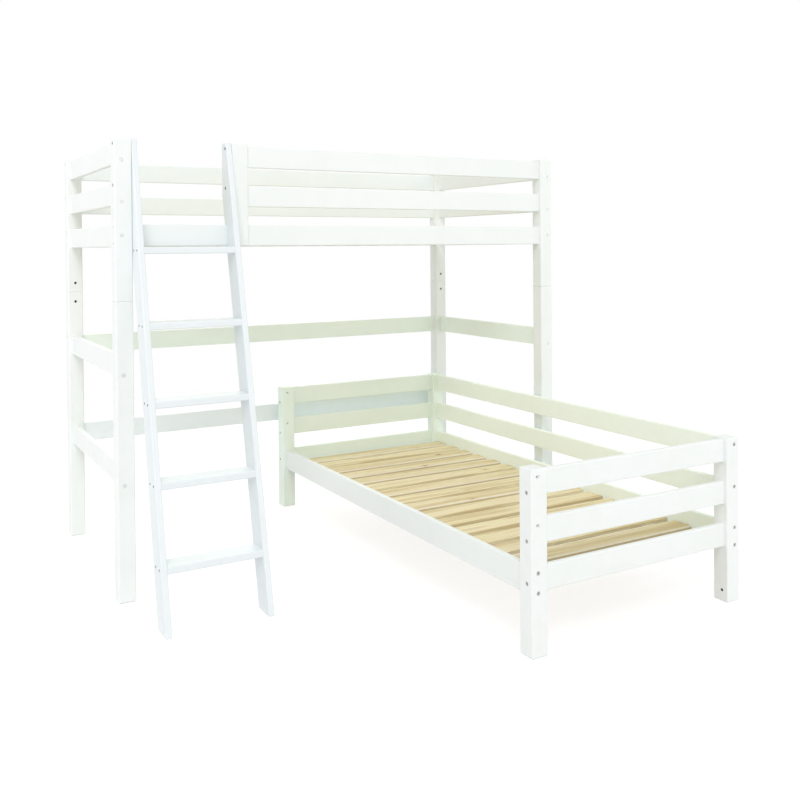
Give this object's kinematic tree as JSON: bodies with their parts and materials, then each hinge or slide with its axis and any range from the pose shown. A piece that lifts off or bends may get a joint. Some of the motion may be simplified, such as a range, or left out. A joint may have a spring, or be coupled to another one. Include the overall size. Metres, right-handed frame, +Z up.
{
  "type": "l shaped bunk bed",
  "caption": "Loft bed with guard boards and a leaning ladder over a low single bed turned square to it, in white painted wood with bare pine slats.",
  "frame": {"origin": "middle of the whole outline at floor level", "axes": "+X to the right along the loft bed as seen from the front, +Y to the back along the low bed towards its head, +Z up"},
  "size_m": [2.074, 2.166, 1.745],
  "materials": {
    "white_paint": "satin white paint",
    "ladder_paint": "satin white paint",
    "pine": "planed and bare",
    "beech": "planed and bare",
    "steel": "zinc plated"
  },
  "bodies": {
    "root": {"leg_front_left": "white_paint", "leg_front_right": "white_paint", "leg_back_left": "white_paint", "leg_back_right": "white_paint", "upper_post_front_left": "white_paint", "upper_post_front_right": "white_paint", "upper_post_back_left": "white_paint", "upper_post_back_right": "white_paint", "guard_post": "white_paint", "front_side_rail": "white_paint", "front_guard_mid": "white_paint", "front_guard_top": "white_paint", "back_side_rail": "white_paint", "back_guard_mid": "white_paint", "back_guard_top": "white_paint", "left_end_rail": "white_paint", "left_guard_mid": "white_paint", "left_guard_top": "white_paint", "right_end_rail": "white_paint", "right_guard_mid": "white_paint", "right_guard_top": "white_paint", "back_stretcher_mid": "white_paint", "back_stretcher_low": "white_paint", "left_stretcher_mid": "white_paint", "left_stretcher_low": "white_paint", "right_stretcher_mid": "white_paint", "leg_dowels": "beech", "leg_pins": "steel", "loft_cleats": "white_paint", "loft_slats": "pine", "ladder_stile_left": "ladder_paint", "ladder_stile_right": "ladder_paint", "ladder_screws": "steel", "ladder_bolts": "steel", "bed_post_head_left": "white_paint", "bed_post_head_right": "white_paint", "bed_post_foot_left": "white_paint", "bed_post_foot_right": "white_paint", "headboard_low": "white_paint", "headboard_mid": "white_paint", "headboard_top": "white_paint", "footboard_low": "white_paint", "footboard_mid": "white_paint", "footboard_top": "white_paint", "bed_rail_left": "white_paint", "bed_rail_right": "white_paint", "bed_guard_mid": "white_paint", "bed_guard_top": "white_paint", "bed_cleats": "white_paint", "bed_slats": "pine", "frame_bolts": "steel", "barrel_nuts": "steel", "board_dowels": "beech", "loft_screws": "steel", "bed_screws": "steel", "ladder_step_1": "ladder_paint", "ladder_step_2": "ladder_paint", "ladder_step_3": "ladder_paint", "ladder_step_4": "ladder_paint", "ladder_step_5": "ladder_paint"}
  },
  "joints": []
}
